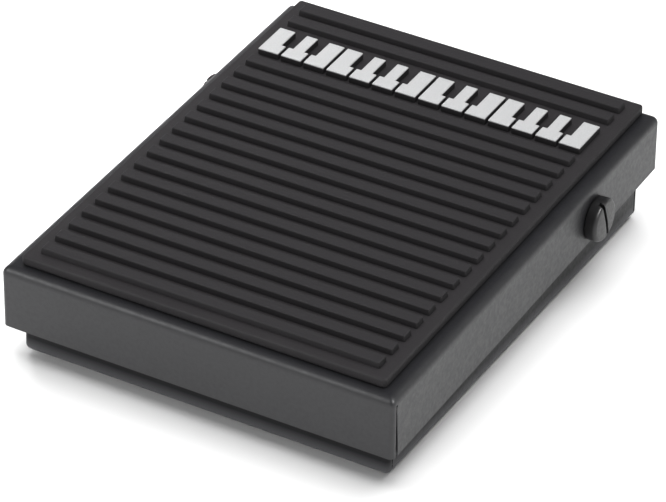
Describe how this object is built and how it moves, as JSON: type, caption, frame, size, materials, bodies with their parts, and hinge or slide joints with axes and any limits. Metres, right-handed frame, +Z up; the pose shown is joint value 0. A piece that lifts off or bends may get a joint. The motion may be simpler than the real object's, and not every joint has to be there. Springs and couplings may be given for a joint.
{
  "type": "sustain pedal",
  "caption": "Compact foot pedal for a keyboard: a sprung steel plate with a ribbed rubber tread rocks on side screws over a low steel tray and works a small switch.",
  "frame": {"origin": "middle of the footprint, on the floor", "axes": "+X to the right as the foot points away from the player, +Y from the toe end to the cord end, +Z up"},
  "size_m": [0.08, 0.0972, 0.0236],
  "materials": {
    "black_paint": "satin black powder coat with a fine texture",
    "screw_paint": "satin black over steel, worn a little at the slot",
    "tread_rubber": "matt moulded rubber",
    "pad_rubber": "matt",
    "silver_foil": "satin silver foil",
    "plated_steel": "zinc plated",
    "spring_steel": "bright drawn wire and strip",
    "nylon": "natural nylon",
    "board_laminate": "solder mask over glass laminate",
    "switch_plastic": "moulded",
    "contact_brass": "tinned brass"
  },
  "bodies": {
    "base": {"base_tray": "black_paint", "base_pad": "pad_rubber", "pivot_screw_left": "screw_paint", "pivot_screw_right": "screw_paint", "pivot_nut_left": "plated_steel", "pivot_nut_right": "plated_steel", "pivot_washer_left": "nylon", "pivot_washer_right": "nylon", "front_stop_strip": "pad_rubber", "rear_stop_strip": "pad_rubber", "spring_post": "plated_steel", "return_spring": "spring_steel", "cord_grommet": "pad_rubber", "board_standoffs": "plated_steel", "board_screws": "plated_steel", "switch_board": "board_laminate", "switch_case": "switch_plastic", "switch_cover": "switch_plastic", "switch_terminals": "contact_brass", "lever_pin": "spring_steel"},
    "pedal": {"pedal_plate": "black_paint", "tread_mat": "tread_rubber", "emblem_foil": "silver_foil", "spring_cup": "plated_steel", "actuator_button": "nylon"},
    "switch_lever": {"switch_lever": "spring_steel"},
    "switch_plunger": {"switch_plunger": "nylon"},
    "contact_blade": {"contact_blade": "contact_brass"}
  },
  "joints": [
    {"name": "pedal_pivot", "type": "hinge", "parent": "base", "child": "pedal", "pos_m": [0, 0.02331, 0.01345], "axis": [1, 0, 0], "range_deg": [0, 3.5], "stiffness_Nm_per_rad": 10.6, "springref_deg": -2.69, "deforming": ["return_spring"]},
    {"name": "lever_pivot", "type": "hinge", "parent": "base", "child": "switch_lever", "pos_m": [0.017, 0.00571, 0.014], "axis": [1, 0, 0], "range_deg": [0, 10]},
    {"name": "plunger_slide", "type": "slide", "parent": "base", "child": "switch_plunger", "axis": [0, 0, -1], "range_m": [0, 0.00065]},
    {"name": "blade_tip", "type": "hinge", "parent": "base", "child": "contact_blade", "pos_m": [0.017, 0.00641, 0.01068], "axis": [1, 0, 0], "range_deg": [0, 7.5]}
  ],
  "couplings": [
    {"joint": "lever_pivot", "follows": "pedal_pivot", "ratio": 2.73},
    {"joint": "plunger_slide", "follows": "pedal_pivot", "m_per_rad": 0.0099},
    {"joint": "blade_tip", "follows": "pedal_pivot", "ratio": 2.02}
  ]
}
